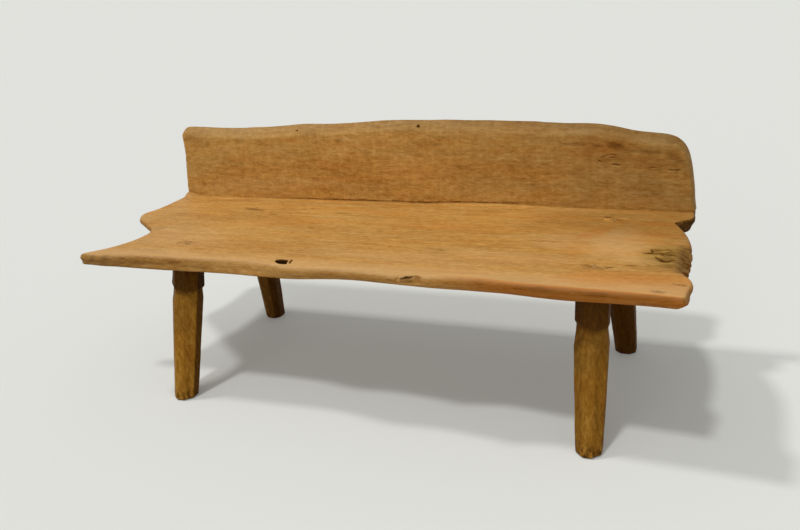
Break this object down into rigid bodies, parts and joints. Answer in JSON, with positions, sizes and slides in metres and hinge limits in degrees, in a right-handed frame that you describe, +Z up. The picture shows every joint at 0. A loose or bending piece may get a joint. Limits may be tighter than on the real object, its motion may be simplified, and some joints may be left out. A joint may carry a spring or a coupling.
{
  "type": "monks bench",
  "caption": "Low live-edge wooden bench: broad slab seat, low slab back along its rear edge, and splayed chamfered legs tenoned through the seat.",
  "frame": {"origin": "on the floor, under the middle of the bench's overall box", "axes": "+X along the bench, to the right as seen from the front, +Y from the front edge to the back board, +Z up"},
  "size_m": [1.8077, 0.679, 0.716],
  "materials": {
    "seat_wood": "old teak, hand-smoothed, satin wax, live edges left rounded",
    "back_wood": "old teak, hewn face with faint tool ripple, waney crest",
    "leg_wood": "darker hewn hardwood, chamfered, worn at the foot",
    "wedge_wood": "end grain, flush and waxed with the seat",
    "dowel_wood": "plain turned hardwood, hidden in the joint"
  },
  "bodies": {
    "root": {"seat_slab": "seat_wood", "back_board": "back_wood", "front_left_leg": "leg_wood", "front_right_leg": "leg_wood", "rear_left_leg": "leg_wood", "rear_right_leg": "leg_wood", "front_left_wedge": "wedge_wood", "front_right_wedge": "wedge_wood", "rear_left_wedge": "wedge_wood", "rear_right_wedge": "wedge_wood", "back_dowels": "dowel_wood"}
  },
  "joints": []
}
